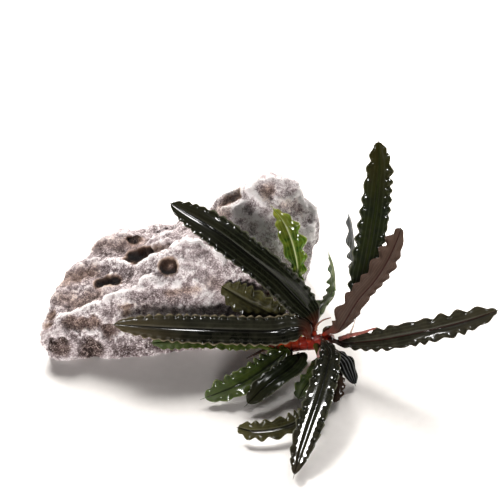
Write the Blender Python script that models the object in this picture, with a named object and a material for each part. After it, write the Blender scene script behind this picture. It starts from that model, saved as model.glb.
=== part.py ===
"""Bucephalandra on a stone: a small rosette water plant whose creeping stem clings to a pitted stone.

Metres, +Z up, with the tables in millimetres. The stone's front looks along -Y, its low end is at -X, and the
plant grows at its +X front corner. The origin is under the middle of the whole object, on the surface that the
stone rests on.
"""

import math
from dataclasses import dataclass

import bmesh
import bpy
from mathutils import Vector, noise
from mathutils.bvhtree import BVHTree

MM = 0.001
GAP = 0.3

# The stone, as blocks that were broken from one rock: the corners of each.
STONE_BLOCKS = {
    "body": (
        (-50, -2, -5), (-38, 2, -5), (-14, 5, -5), (5, 8, -5), (12, 22, -5), (10, 44, -5), (-12, 58, -5),
        (-48, 50, -5), (-46, 8, 24), (-42, 17, 29), (-29, 17, 38), (-16, 12, 35), (2, 14, 22), (8, 18, 12),
        (10, 32, 30), (-34, 33, 35), (-50, 36, 25), (-20, 44, 34),
    ),
    "low_end": (
        (-78, 0, 2), (-73, -2, -5), (-59, -3, -5), (-46, -1, -5), (-72, 22, -5), (-58, 40, -5),
        (-38, 40, -5), (-81, -1, 8), (-80, 9, 10), (-73, 7, 12), (-59, 8, 18), (-45, 9, 24), (-76, 20, 14),
        (-74, 27, 18), (-62, 34, 22), (-50, 30, 25),
    ),
    "back_ridge": (
        (-68, 32, -5), (-70, 30, 12), (-64, 37, 23), (-50, 40, 28), (-39, 36, 32), (-33, 34, 36),
        (-22, 36, 36), (-58, 54, -5), (-20, 62, -5), (-52, 51, 18), (-22, 55, 26), (-40, 28, 20),
    ),
    "lobe": (
        (-21, 40, 40), (-10, 36, 46), (0, 39, 50), (11, 42, 46), (17, 43, 36), (19, 41, 29), (16, 39, 14),
        (11, 34, 2), (2, 52, 44), (-16, 50, 34), (10, 58, -5), (-14, 63, -5), (-14, 20, 30), (1, 20, 30),
        (8, 26, 22), (9, 20, -5), (12, 54, 30),
    ),
}
STONE_FINENESS = 1.3
STONE_FACES = 3900


@dataclass(frozen=True)
class Stroke:
    """A mark worn into the stone along a line. A depth under zero raises a ridge."""

    name: str
    line: tuple
    reach: float
    depth: float


STROKES = (
    Stroke("front crest", ((-73, 6, 13), (-59, 8, 18), (-52, 9, 21), (-45, 9, 24), (-39, 9, 26)), 4.5, -1.4),
    Stroke("hollow under the crest", ((-45, 6, 18), (-36, 7, 20), (-27, 7, 19), (-19, 8, 19)), 7, 1.8),
    Stroke("lower front ledge", ((-63, 2, 11), (-59, 2, 8), (-52, 2, 6), (-42, 2, 6)), 4, -0.8),
    Stroke("scoop at the foot", ((-62, 0, 4),), 6, 1.8),
    Stroke("scoop near the low end", ((-73, -1, 6),), 5, 1.8),
    Stroke("long dark scoop", ((-69, 3, 13), (-63, 3, 13)), 4.5, 2.0),
    Stroke("scoop by the long one", ((-56, 3, 9),), 4.5, 1.6),
    Stroke("nick in the low end", ((-77, 9, 12), (-78, 5, 10)), 3.5, 1.4),
    Stroke("shelf", ((-70, 12, 15), (-60, 11, 19)), 7, 1.8),
    Stroke("back shelf", ((-72, 22, 17), (-64, 23, 20)), 7, 1.5),
    Stroke("dip around the slot", ((-59, 21, 22), (-52, 19, 23)), 6.5, 1.6),
    Stroke("slot", ((-59, 17, 21), (-55, 17, 22)), 2.6, 2.6),
    Stroke("dip around the round hole", ((-35, 12, 31),), 8, 2.0),
    Stroke("round hole", ((-35, 13, 31),), 3.0, 3.4),
    Stroke("valley behind the crest", ((-54, 28, 26), (-45, 24, 28), (-36, 21, 33)), 4.5, 1.8),
    Stroke("long hole", ((-47, 26, 26), (-42, 23, 30)), 3.2, 3.0),
    Stroke("small hole", ((-49, 34, 28),), 2.8, 2.8),
    Stroke("saddle by the small hole", ((-44, 38, 29), (-37, 37, 32)), 10, 2.6),
    Stroke("low top crest", ((-62, 28, 21), (-52, 24, 24), (-42, 17, 30)), 3.5, -0.9),
    Stroke("high top crest", ((-42, 17, 30), (-35, 19, 35), (-28, 18, 38), (-20, 17, 36)), 3.5, -0.9),
    Stroke("notch by the lobe", ((-19, 38, 40), (-10, 36, 45)), 4, 2.2),
    Stroke("lobe crest", ((-8, 36, 46), (-2, 33, 44), (2, 33, 42)), 4, -1.0),
    Stroke("hollow of the lobe", ((5, 33, 41), (11, 38, 40)), 7, 1.8),
    Stroke("dimple of the lobe", ((-1, 36, 47),), 4.5, 1.3),
    Stroke("right facet", ((7, 31, 35), (15, 36, 28)), 4, -0.8),
    Stroke("back groove", ((-44, 58, 8), (-34, 52, 22), (-30, 46, 31)), 7, 2.2),
    Stroke("back hollow", ((-8, 60, 12), (-4, 58, 22)), 9, 2.4),
)
# Sizes of the stone's roughness: the span of its lumps, and how far they stand out.
ROUGHNESS = ((15, 1.1), (6.5, 0.75), (3.0, 0.4))

# The creeping stem, from its end against the stone to its growing tip.
STEM_PATH = ((-6, 5.6, 8), (-2, 3.2, 6.5), (5, 0.9, 5.2), (11, 0.6, 5.6), (17.4, 1.2, 6), (22, 1.6, 8))
STEM_RADIUS = 2.0
STEM_COLOUR = "#7A2418"


@dataclass(frozen=True)
class Leaf:
    """A leaf, from its base on the stem to its tip."""

    name: str
    # Where the base is: how far along the stem (0 is the old end, 1 the growing tip), and on which side of it,
    # in degrees (0 is the back, 90 the top, 180 the front).
    along: float
    around: float
    # The points that the midrib passes, the tip last, and how much of its length is bare stalk.
    path: tuple
    stalk: float
    width: float
    # Where the upper side looks, by the stalk and at the tip.
    faces: tuple
    tip_faces: tuple
    # Waves along each edge, how far they rise, and how far the edges stand over the midrib.
    waves: int
    wave_height: float
    fold: float
    colour: str


LEAVES = (
    Leaf(
        name="leaf_over_stone", along=0.66, around=60, stalk=6, width=10.6, colour="#20261F",
        path=((10.8, 5.2, 24), (-6.5, 7.5, 42), (-22, 16.8, 47.5), (-35, 25.4, 49)),
        faces=(0.3, -0.9, 0.4), tip_faces=(0, -0.7, 0.7), waves=20, wave_height=0.75, fold=0.9,
    ),
    Leaf(
        name="leaf_along_stone", along=0.72, around=112, stalk=4, width=10.6, colour="#1E231D",
        path=((0.5, -1.3, 13.5), (-16.9, -2.7, 15.5), (-35.9, -2.9, 16.5), (-53, -1.7, 16.5)),
        faces=(0, -0.75, 0.65), tip_faces=(0, -0.8, 0.6), waves=22, wave_height=0.75, fold=0.8,
    ),
    Leaf(
        name="leaf_below_stone_leaf", along=0.42, around=175, stalk=8, width=7.6, colour="#4B5A2C",
        path=((-4, -2.2, 7.2), (-13.5, -1.4, 8.8), (-28, -2.0, 9.8), (-40.6, -3.4, 9.4)),
        faces=(0, -0.65, 0.75), tip_faces=(0, -0.7, 0.7), waves=13, wave_height=0.6, fold=0.4,
    ),
    Leaf(
        name="leaf_on_stone_face", along=0.56, around=55, stalk=6, width=8.6, colour="#3A3B22",
        path=((4, 4.4, 13.5), (-6.5, 6.6, 19), (-16.3, 8.4, 25)),
        faces=(0, -0.85, 0.5), tip_faces=(0.1, -0.8, 0.6), waves=10, wave_height=0.8, fold=0.7,
    ),
    Leaf(
        name="leaf_bright", along=0.75, around=25, stalk=22, width=8.4, colour="#4E7A1F",
        path=((11.5, 9, 26), (6.3, 15.3, 40), (1.2, 26.7, 46.5)),
        faces=(0.2, -0.9, 0.3), tip_faces=(0.1, -0.7, 0.7), waves=8, wave_height=0.8, fold=0.9,
    ),
    Leaf(
        name="leaf_edge_on_short", along=0.86, around=20, stalk=7, width=7.0, colour="#56663C",
        path=((22.1, 12, 14), (23.3, 20.4, 21), (22.1, 28.1, 25)),
        faces=(-0.6, -0.6, 0.5), tip_faces=(-1, -0.1, 0.2), waves=6, wave_height=0.7, fold=0.5,
    ),
    Leaf(
        name="leaf_edge_on_long", along=0.935, around=60, stalk=12, width=6.8, colour="#7C8476",
        path=((27, 13, 20), (29.9, 28.9, 29), (28.5, 40.2, 34.5)),
        faces=(-0.9, -0.2, 0.3), tip_faces=(-1, 0, 0.1), waves=8, wave_height=0.6, fold=0.5,
    ),
    Leaf(
        name="leaf_upright", along=0.97, around=80, stalk=11, width=10.8, colour="#1E2B1C",
        path=((28.6, 8, 24), (37.1, 22.1, 50), (37.7, 38.8, 66)),
        faces=(-0.3, -0.7, 0.6), tip_faces=(-0.1, -0.8, 0.6), waves=20, wave_height=0.85, fold=0.6,
    ),
    Leaf(
        name="leaf_underside", along=0.95, around=118, stalk=5, width=10.6, colour="#4A3A35",
        path=((30, 0.6, 24), (38.4, 2.2, 38), (45.7, 7.0, 50)),
        faces=(-0.1, 0.9, 0.1), tip_faces=(0.1, 0.9, 0), waves=12, wave_height=0.7, fold=0.7,
    ),
    Leaf(
        name="leaf_right", along=1.0, around=150, stalk=3, width=8.6, colour="#35332A",
        path=((36, -3.2, 11), (55.3, -6.2, 16.6), (79.4, -3.8, 24)),
        faces=(0.1, -0.7, 0.7), tip_faces=(0, -0.7, 0.7), waves=11, wave_height=0.7, fold=0.7,
    ),
    Leaf(
        name="leaf_front", along=0.88, around=128, stalk=3, width=9.4, colour="#262820",
        path=((19, -21, 11.5), (14.3, -39.4, 9), (7, -63, 1.4)),
        faces=(0.1, -0.1, 1), tip_faces=(0, -0.3, 1), waves=19, wave_height=0.7, fold=0.5,
    ),
    Leaf(
        name="leaf_front_left", along=0.36, around=215, stalk=5, width=9.2, colour="#3F4A20",
        path=((1.5, -9, 7.2), (-9.9, -20.5, 7.2), (-21.9, -26.4, 4.2)),
        faces=(-0.1, -0.4, 0.9), tip_faces=(-0.2, -0.5, 0.85), waves=9, wave_height=0.7, fold=0.5,
    ),
    Leaf(
        name="leaf_front_low", along=0.55, around=205, stalk=5, width=9.4, colour="#1F211B",
        path=((8.2, -12.5, 4.6), (1.0, -22.6, 4.2), (-6.8, -30, 2.4)),
        faces=(0.1, -0.15, 1), tip_faces=(0, -0.3, 1), waves=7, wave_height=0.55, fold=0.3,
    ),
    Leaf(
        name="leaf_front_curled", along=0.72, around=172, stalk=26, width=6.6, colour="#3A3A1E",
        path=((16.6, -16, 7.2), (14.3, -31, 5), (7.4, -39.2, 4.3), (-1.5, -42.6, 4.3), (-10.5, -41.4, 3.8)),
        faces=(0, -0.5, 0.9), tip_faces=(0, -0.7, 0.7), waves=6, wave_height=0.8, fold=0.3,
    ),
    Leaf(
        name="leaf_drooping", along=0.96, around=195, stalk=4, width=6.6, colour="#26282A",
        path=((27, -9, 6.2), (30, -17.6, 1.6)),
        faces=(0.5, -0.4, 0.8), tip_faces=(0.6, -0.6, 0.5), waves=4, wave_height=0.35, fold=-0.5,
    ),
    Leaf(
        name="leaf_short_left", along=0.66, around=205, stalk=5, width=6.8, colour="#4F5726",
        path=((15, -13.5, 3.2), (11.2, -25.8, 2.3)),
        faces=(-0.1, -0.2, 1), tip_faces=(-0.2, -0.3, 1), waves=5, wave_height=0.5, fold=0.2,
    ),
    Leaf(
        name="leaf_short_right", along=0.85, around=200, stalk=5, width=7.2, colour="#33231C",
        path=((22.2, -15.5, 4.2), (20.6, -31, 2.4)),
        faces=(0.15, -0.2, 1), tip_faces=(0.1, -0.3, 1), waves=6, wave_height=0.5, fold=0.2,
    ),
)


@dataclass(frozen=True)
class Root:
    """A thread of root. One that clings lies on the stone's surface all along its path."""

    name: str
    path: tuple
    radius: float
    clings: bool
    colour: str


ROOTS = (
    Root("root_pale", ((10.3, -0.8, 2.9), (11.6, -4.6, 2.0), (11.3, -8.4, 0.7)), 0.35, False, "#CFC6B8"),
    Root("root_brown", ((-0.8, 0.6, 3.2), (-3.8, 0.2, 1.9), (-7.8, -1.6, 0.8)), 0.4, False, "#5B4436"),
    Root("root_clinging_up", ((-7, 8, 12), (-11, 9, 15), (-13, 9, 20), (-12, 10, 25)), 0.4, True, "#5B4436"),
    Root("root_clinging_left", ((-10, 7, 9), (-16, 6, 8), (-22, 6, 9), (-27, 6, 7)), 0.4, True, "#6B5140"),
    Root("root_clinging_down", ((-4, 8, 4), (-1, 9, 8), (2, 10, 12)), 0.35, True, "#6B5140"),
)


def curve_through(points, count):
    """Evenly spaced points along a smooth curve that passes the given ones."""
    points = [Vector(p) for p in points]
    ends = [points[0] * 2 - points[1]] + points + [points[-1] * 2 - points[-2]]
    fine = []
    for a, b, c, d in zip(ends, ends[1:], ends[2:], ends[3:]):
        for step in range(24):
            t = step / 24
            bend = a * 2 - b * 5 + c * 4 - d
            twist = b * 3 - a - c * 3 + d
            fine.append((b * 2 + (c - a) * t + bend * t * t + twist * t ** 3) / 2)
    fine.append(points[-1])
    run = [0.0]
    for a, b in zip(fine, fine[1:]):
        run.append(run[-1] + (b - a).length)
    even = []
    at = 0
    for k in range(count):
        want = run[-1] * k / (count - 1)
        while at < len(run) - 2 and run[at + 1] < want:
            at += 1
        share = (want - run[at]) / (run[at + 1] - run[at])
        even.append(fine[at].lerp(fine[at + 1], min(max(share, 0), 1)))
    return even


def directions(points):
    """The way a line of points runs at each of them."""
    before = points[:1] + points[:-1]
    after = points[1:] + points[-1:]
    return [(b - a).normalized() for a, b in zip(before, after)]


def object_of(name, bm):
    """A new object in the scene with this bmesh as its mesh."""
    mesh = bpy.data.meshes.new(name)
    bm.to_mesh(mesh)
    bm.free()
    obj = bpy.data.objects.new(name, mesh)
    bpy.context.scene.collection.objects.link(obj)
    return obj


def coloured(obj, colour, roughness):
    """Gives the object a material of its own."""
    channels = [int(colour[k:k + 2], 16) / 255 for k in (1, 3, 5)]
    linear = [c / 12.92 if c <= 0.04045 else ((c + 0.055) / 1.055) ** 2.4 for c in channels]
    material = bpy.data.materials.new(obj.name)
    material.use_nodes = True
    shader = material.node_tree.nodes["Principled BSDF"]
    shader.inputs["Base Color"].default_value = (*linear, 1)
    shader.inputs["Roughness"].default_value = roughness
    obj.data.materials.append(material)
    return obj


def applied(obj):
    """Bakes the modifiers of an object into its mesh."""
    graph = bpy.context.evaluated_depsgraph_get()
    mesh = bpy.data.meshes.new_from_object(obj.evaluated_get(graph))
    obj.modifiers.clear()
    old = obj.data
    obj.data = mesh
    bpy.data.meshes.remove(old)


def distance_to_line(point, line):
    """How far a point is from a line of one or more points."""
    if len(line) == 1:
        return (point - line[0]).length
    nearest = []
    for a, b in zip(line, line[1:]):
        span = b - a
        share = min(max((point - a).dot(span) / span.length_squared, 0), 1)
        nearest.append((point - a - span * share).length)
    return min(nearest)


def wear(stone):
    """Cuts the strokes into the stone and roughens it."""
    strokes = [(stroke, [Vector(p) for p in stroke.line]) for stroke in STROKES]
    moves = []
    for vertex in stone.data.vertices:
        point = vertex.co / MM
        move = 0.0
        for stroke, line in strokes:
            far = distance_to_line(point, line) / stroke.reach
            if far < 1:
                move -= stroke.depth * (1 - far * far) ** 2
        for span, height in ROUGHNESS:
            move += height * noise.noise(point / span)
        moves.append(vertex.normal * move * MM)
    for vertex, move in zip(stone.data.vertices, moves):
        vertex.co += move


def make_stone():
    """The blocks fused into one lump, worn, and cut flat where it rests."""
    bm = bmesh.new()
    for corners in STONE_BLOCKS.values():
        block = [bm.verts.new(Vector(corner) * MM) for corner in corners]
        hull = bmesh.ops.convex_hull(bm, input=block)
        spare = {v for v in hull["geom_interior"] + hull["geom_unused"] if isinstance(v, bmesh.types.BMVert)}
        bmesh.ops.delete(bm, geom=list(spare), context="VERTS")
    stone = object_of("stone", bm)
    fuse = stone.modifiers.new("fuse", "REMESH")
    fuse.mode = "VOXEL"
    fuse.voxel_size = STONE_FINENESS * MM
    soften = stone.modifiers.new("soften", "SMOOTH")
    soften.factor = 0.5
    soften.iterations = 4
    applied(stone)
    wear(stone)
    thin = stone.modifiers.new("thin", "DECIMATE")
    thin.ratio = STONE_FACES / (2 * len(stone.data.polygons))
    applied(stone)
    bm = bmesh.new()
    bm.from_mesh(stone.data)
    everything = list(bm.verts) + list(bm.edges) + list(bm.faces)
    near = 0.02 * MM
    cut = bmesh.ops.bisect_plane(
        bm, geom=everything, dist=near, plane_co=(0, 0, 0), plane_no=(0, 0, -1), clear_outer=True)
    for vertex in bm.verts:
        vertex.co.z = 0 if vertex.co.z < near else vertex.co.z
    rim = [g for g in cut["geom_cut"] if isinstance(g, bmesh.types.BMEdge)]
    bmesh.ops.holes_fill(bm, edges=rim)
    bmesh.ops.triangulate(bm, faces=list(bm.faces))
    bm.to_mesh(stone.data)
    bm.free()
    return coloured(stone, "#B3A9A5", 0.75)


def ring_solid(name, rings, tip=None):
    """A closed skin over rings of four points: a flat end at the first, and a point at the tip if there is one."""
    bm = bmesh.new()
    rows = [[bm.verts.new(p * MM) for p in ring] for ring in rings]
    for a, b in zip(rows, rows[1:]):
        for k in range(4):
            n = (k + 1) % 4
            # The edge that splits each side starts at the midrib, so the upper and lower skins stay apart.
            if k % 2:
                bm.faces.new((a[k], a[n], b[n]))
                bm.faces.new((a[k], b[n], b[k]))
            else:
                bm.faces.new((a[k], a[n], b[k]))
                bm.faces.new((a[n], b[n], b[k]))
    start = rows[0]
    bm.faces.new((start[0], start[3], start[2]))
    bm.faces.new((start[0], start[2], start[1]))
    end = rows[-1]
    if tip is None:
        bm.faces.new((end[0], end[1], end[2]))
        bm.faces.new((end[0], end[2], end[3]))
    else:
        point = bm.verts.new(tip * MM)
        for k in range(4):
            bm.faces.new((end[k], end[(k + 1) % 4], point))
    return object_of(name, bm)


def blade_outline(share):
    """The half width of a blade at a share of its length, as a part of its widest."""
    swell = math.sin(math.pi / 2 * min(share / 0.3, 1)) ** 0.8
    taper = 1 - max((share - 0.58) / 0.42, 0) ** 2.2
    return swell * taper


def stem_point(along):
    """A point on the stem's middle line, and the way the stem runs there."""
    line = curve_through(STEM_PATH, 201)
    k = round(along * 200)
    return line[k], directions(line)[k]


def leaf_base(leaf):
    """The point beside the stem where a leaf starts, and the way out from the stem."""
    middle, run = stem_point(leaf.along)
    angle = math.radians(leaf.around)
    out = Vector((0, math.cos(angle), math.sin(angle)))
    out = (out - run * out.dot(run)).normalized()
    return middle + out * (STEM_RADIUS + GAP + 0.75), out


def make_leaf(leaf):
    """A stalk and a blade with waved edges, in one."""
    base, out = leaf_base(leaf)
    through = [Vector(p) for p in leaf.path]
    bend = base + out * 1.6 + (through[0] - base).normalized() * 1.2
    line = curve_through([base, bend] + through, 400)
    length = sum((b - a).length for a, b in zip(line, line[1:]))
    first = leaf.stalk / length
    stalk_steps = max(2, round(leaf.stalk / 3))
    blade_steps = leaf.waves * 2 + 1
    shares = [first * k / stalk_steps for k in range(stalk_steps)]
    shares += [first + (1 - first) * k / blade_steps for k in range(blade_steps)]
    run_at = directions(line)
    rings = []
    for k, share in enumerate(shares):
        middle = line[round(share * 399)]
        run = run_at[round(share * 399)]
        face = Vector(leaf.faces).lerp(Vector(leaf.tip_faces), share)
        face = (face - run * face.dot(run)).normalized()
        side = run.cross(face)
        reach = 0.0 if share < first else (share - first) / (1 - first)
        half = max(0.65, leaf.width / 2 * blade_outline(reach))
        thick = 0.6 * (1 - 0.5 * reach)
        spread = half / (leaf.width / 2)
        lift = leaf.fold * spread if reach > 0 else 0.0
        wave = leaf.wave_height * min(1, spread * 1.3) * (1 if k % 2 else -1) if reach > 0 else 0.0
        rings.append((
            middle - side * half + face * (lift + wave),
            middle + face * thick,
            middle + side * half + face * (lift - wave),
            middle - face * thick,
        ))
    return coloured(ring_solid(leaf.name, rings, line[-1]), leaf.colour, 0.3)


def tube(name, points, radii, sides):
    """A round thread along a line of points, closed at both ends."""
    bm = bmesh.new()
    across = Vector((0, 0, 1))
    rows = []
    for point, run, radius in zip(points, directions(points), radii):
        across = (across - run * across.dot(run)).normalized()
        other = run.cross(across)
        row = []
        for k in range(sides):
            turn = math.tau * k / sides
            row.append(bm.verts.new((point + (across * math.cos(turn) + other * math.sin(turn)) * radius) * MM))
        rows.append(row)
    for a, b in zip(rows, rows[1:]):
        for k in range(sides):
            n = (k + 1) % sides
            bm.faces.new((a[k], a[n], b[n]))
            bm.faces.new((a[k], b[n], b[k]))
    bm.faces.new(rows[0][::-1])
    bm.faces.new(rows[-1])
    bmesh.ops.triangulate(bm, faces=list(bm.faces))
    return object_of(name, bm)


def make_stem():
    """The creeping stem, ringed by old leaf scars, with a bud at its growing tip."""
    points = curve_through(STEM_PATH, 25)
    radii = []
    for k in range(25):
        scar = 0.12 if k % 2 else -0.05
        close = min(1, 0.55 + k * 0.2, 0.3 + (24 - k) * 0.28)
        radii.append((STEM_RADIUS + scar) * close)
    return coloured(tube("stem", points, radii, 9), STEM_COLOUR, 0.45)


def make_root(root, surface):
    """A root, laid along the stone if it clings."""
    length = sum((Vector(b) - Vector(a)).length for a, b in zip(root.path, root.path[1:]))
    points = curve_through(root.path, max(5, round(length / 1.5)))
    if root.clings:
        laid = []
        for point in points:
            spot, normal, _, _ = surface.find_nearest(point * MM)
            laid.append(spot / MM + normal * (root.radius + GAP + 0.25))
        points = laid
    count = len(points)
    radii = [root.radius * (1 - 0.5 * k / (count - 1)) for k in range(count)]
    return coloured(tube(root.name, points, radii, 5), root.colour, 0.6)


def clear_scene():
    for obj in list(bpy.data.objects):
        bpy.data.objects.remove(obj)


def main():
    clear_scene()
    stone = make_stone()
    surface = BVHTree.FromObject(stone, bpy.context.evaluated_depsgraph_get())
    make_stem()
    for leaf in LEAVES:
        make_leaf(leaf)
    for root in ROOTS:
        make_root(root, surface)


main()
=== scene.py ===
"""Bucephalandra on a stone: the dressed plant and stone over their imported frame.

A rosette of glossy dark leaves grows from a red creeping stem, against the front of a pitted grey stone. Sizes are
in millimetres and are turned to metres where a mesh is made. The stone's front looks along -Y and its low end is at
-X. The crown of the plant is at the stone's +X front corner.
"""

import logging
import math
from dataclasses import dataclass, replace
from enum import Enum

import bpy
import numpy as np
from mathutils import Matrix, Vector, noise
from mathutils.bvhtree import BVHTree


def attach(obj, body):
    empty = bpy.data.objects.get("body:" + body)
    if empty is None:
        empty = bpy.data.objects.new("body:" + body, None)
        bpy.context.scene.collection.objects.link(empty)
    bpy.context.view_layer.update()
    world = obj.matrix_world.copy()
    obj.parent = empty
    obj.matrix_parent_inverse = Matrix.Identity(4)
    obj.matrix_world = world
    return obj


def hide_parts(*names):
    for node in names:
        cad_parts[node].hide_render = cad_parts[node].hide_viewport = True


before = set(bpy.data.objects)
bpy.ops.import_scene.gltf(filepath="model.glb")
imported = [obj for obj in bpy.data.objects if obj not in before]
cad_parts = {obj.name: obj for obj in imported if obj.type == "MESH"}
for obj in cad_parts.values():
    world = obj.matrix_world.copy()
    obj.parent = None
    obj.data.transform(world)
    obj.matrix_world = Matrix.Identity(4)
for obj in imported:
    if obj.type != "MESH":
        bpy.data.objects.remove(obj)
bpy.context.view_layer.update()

MM = 0.001
Line = tuple[tuple[float, float, float], ...]


def linear(colour: str) -> tuple[float, float, float, float]:
    """Turns an sRGB hex colour into the linear one that shaders take.

    Args:
        colour: A colour such as "#7A2418".

    Returns:
        Linear red, green and blue, and an alpha of 1.
    """
    parts = [int(colour[k:k + 2], 16) / 255 for k in (1, 3, 5)]
    red, green, blue = (c / 12.92 if c <= 0.04045 else ((c + 0.055) / 1.055) ** 2.4 for c in parts)
    return red, green, blue, 1.0


def add_node(tree: bpy.types.NodeTree, kind: str, inputs: dict | None = None, stops: tuple = (),
             **settings: object) -> bpy.types.Node:
    """Adds a node with its settings and links.

    Args:
        tree: The node tree that the node joins.
        kind: Blender's name for the kind of node, without "ShaderNode".
        inputs: For each input, by name or number, a value or the socket that it is linked from.
        stops: For a colour ramp, the place and hex colour of each stop.
        settings: Values of the node's own properties.

    Returns:
        The new node.
    """
    made = tree.nodes.new("ShaderNode" + kind)
    for name, value in settings.items():
        setattr(made, name, value)
    for key, value in (inputs or {}).items():
        if isinstance(value, bpy.types.NodeSocket):
            tree.links.new(value, made.inputs[key])
        elif isinstance(value, str):
            made.inputs[key].default_value = linear(value)
        else:
            made.inputs[key].default_value = value
    for number, (place, colour) in enumerate(stops):
        ramp = made.color_ramp
        stop = ramp.elements[number] if number < 2 else ramp.elements.new(place)
        stop.position = place
        stop.color = linear(colour)
    return made


def new_material(name: str) -> bpy.types.Material:
    """Makes an empty node material of this name."""
    material = bpy.data.materials.new(name)
    material.use_nodes = True
    material.node_tree.nodes.clear()
    return material


def unit(vectors: np.ndarray) -> np.ndarray:
    """Gives each vector a length of one."""
    return vectors / np.linalg.norm(vectors, axis=-1, keepdims=True)


def smooth(value: np.ndarray, low: float, high: float) -> np.ndarray:
    """Rises softly from 0 where value is low to 1 where it is high."""
    share = np.clip((value - low) / (high - low), 0, 1)
    return share * share * (3 - 2 * share)


def wobble(place: np.ndarray, seed: int, parts: int = 6) -> np.ndarray:
    """Gives smooth uneven numbers between about -1 and 1, the same ones for the same seed.

    Args:
        place: Where each number stands, with lumps about 3 apart.
        seed: Picks the pattern.
        parts: How many waves are added up.

    Returns:
        A number for each place.
    """
    dice = np.random.default_rng(seed)
    total = np.zeros_like(place, dtype=float)
    for _ in range(parts):
        total += np.sin(place * dice.uniform(0.7, 2.4) + dice.uniform(0, math.tau))
    return total / parts * 1.6


def curve_through(points: Line, count: int) -> np.ndarray:
    """Draws a smooth curve that passes the given points.

    Args:
        points: The points that it passes.
        count: How many evenly spaced points to give back.

    Returns:
        The points of the curve, as count by 3.
    """
    knots = np.array(points, float)
    ends = np.vstack([2 * knots[0] - knots[1], knots, 2 * knots[-1] - knots[-2]])
    t = np.linspace(0, 1, 24, endpoint=False)[:, None]
    pieces = []
    for a, b, c, d in zip(ends, ends[1:], ends[2:], ends[3:]):
        bend = 2 * a - 5 * b + 4 * c - d
        twist = 3 * b - a - 3 * c + d
        pieces.append((2 * b + (c - a) * t + bend * t ** 2 + twist * t ** 3) / 2)
    fine = np.vstack(pieces + [knots[-1:]])
    run = np.concatenate([[0], np.cumsum(np.linalg.norm(np.diff(fine, axis=0), axis=1))])
    want = np.linspace(0, run[-1], count)
    return np.stack([np.interp(want, run, fine[:, k]) for k in range(3)], axis=1)


def length_of(points: np.ndarray) -> float:
    """Measures a line of points."""
    return float(np.linalg.norm(np.diff(points, axis=0), axis=1).sum())


def shift_at(points: np.ndarray, span: float) -> np.ndarray:
    """Gives each point a smooth uneven shift of up to about 1, with lumps of about span millimetres."""
    spots = (Vector((0, 0, 0)), Vector((31, 17, 5)), Vector((7, 43, 29)))
    return np.array([[noise.noise(Vector(p) / span + spot) for spot in spots] for p in points])


def loft(name: str, rows: np.ndarray, fields: dict[str, np.ndarray]) -> bpy.types.Object:
    """Draws a closed smooth skin over sections that follow one another.

    Args:
        name: The piece's name.
        rows: The points of each section, as sections by points by 3. A section's last point is its first again,
            and the first and last sections are drawn in to one point each.
        fields: Numbers that the finish reads, each as sections by points.

    Returns:
        The piece, as one closed mesh.
    """
    count, around = rows.shape[:2]
    bpy.ops.object.select_all(action="DESELECT")
    bpy.ops.mesh.primitive_grid_add(x_subdivisions=around - 1, y_subdivisions=count - 1, size=1)
    piece = bpy.context.object
    piece.name = name
    mesh = piece.data
    mesh.name = name
    flat = np.empty(len(mesh.vertices) * 3, np.float32)
    mesh.vertices.foreach_get("co", flat)
    place = flat.reshape(-1, 3)
    column = np.rint((place[:, 0] + 0.5) * (around - 1)).astype(int)
    row = np.rint((place[:, 1] + 0.5) * (count - 1)).astype(int)
    closed = rows.copy()
    closed[0] = rows[0].mean(axis=0)
    closed[-1] = rows[-1].mean(axis=0)
    mesh.vertices.foreach_set("co", (closed[row, column] * MM).astype(np.float32).ravel())
    for field_name, values in fields.items():
        field = mesh.attributes.new(field_name, "FLOAT", "POINT")
        field.data.foreach_set("value", values[row, column].astype(np.float32))
    bpy.ops.object.mode_set(mode="EDIT")
    bpy.ops.mesh.select_all(action="SELECT")
    bpy.ops.mesh.remove_doubles(threshold=1e-7)
    bpy.ops.mesh.normals_make_consistent(inside=False)
    bpy.ops.mesh.select_all(action="DESELECT")
    bpy.ops.object.mode_set(mode="OBJECT")
    bpy.ops.object.shade_smooth()
    return piece


def put_in_frame(piece: bpy.types.Object, slot: str, node: str | None = None) -> None:
    """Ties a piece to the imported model.

    Args:
        piece: The finished piece.
        slot: The record's material slot that it takes its finish from.
        node: The solid that it stands for, if there is one.
    """
    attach(piece, "root")
    if node:
        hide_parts(node)
    logging.info("%s: %d faces, slot %s", piece.name, len(piece.data.polygons), slot)


class MarkKind(Enum):
    """What has happened to a place on the stone."""

    HOLE = "a steep hole with a dark inside"
    SCOOP = "a shallow bowl with a stained floor and a pale rim"
    CREST = "a raised edge that is worn pale"
    STAIN = "a stain on the surface"
    # Painted light and shade: a patch drawn paler where the lamps leave the stone too dark, or darker where its tone is
    # under zero and they leave it too bright.
    LIGHT_PATCH = "a patch paler than the rest, or darker where its tone is under zero"
    CARVE = "stone taken away, or put on where the depth is under zero"


@dataclass(frozen=True)
class Mark:
    """A mark along a line on the stone."""

    kind: MarkKind
    line: Line
    reach: float
    depth: float
    tone: float = 0.0

    def distance(self, points: np.ndarray) -> np.ndarray:
        """Measures how far points are from the line, as a share of the reach.

        Args:
            points: Points on the stone, as count by 3.

        Returns:
            A number for each point, under 1 inside the mark.
        """
        knots = np.array(self.line, float)
        if len(knots) == 1:
            return np.linalg.norm(points - knots[0], axis=1) / self.reach
        near = np.full(len(points), 1e9)
        for a, b in zip(knots, knots[1:]):
            span = b - a
            share = np.clip((points - a) @ span / (span @ span), 0, 1)
            near = np.minimum(near, np.linalg.norm(points - a - share[:, None] * span, axis=1))
        return near / self.reach


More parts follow.
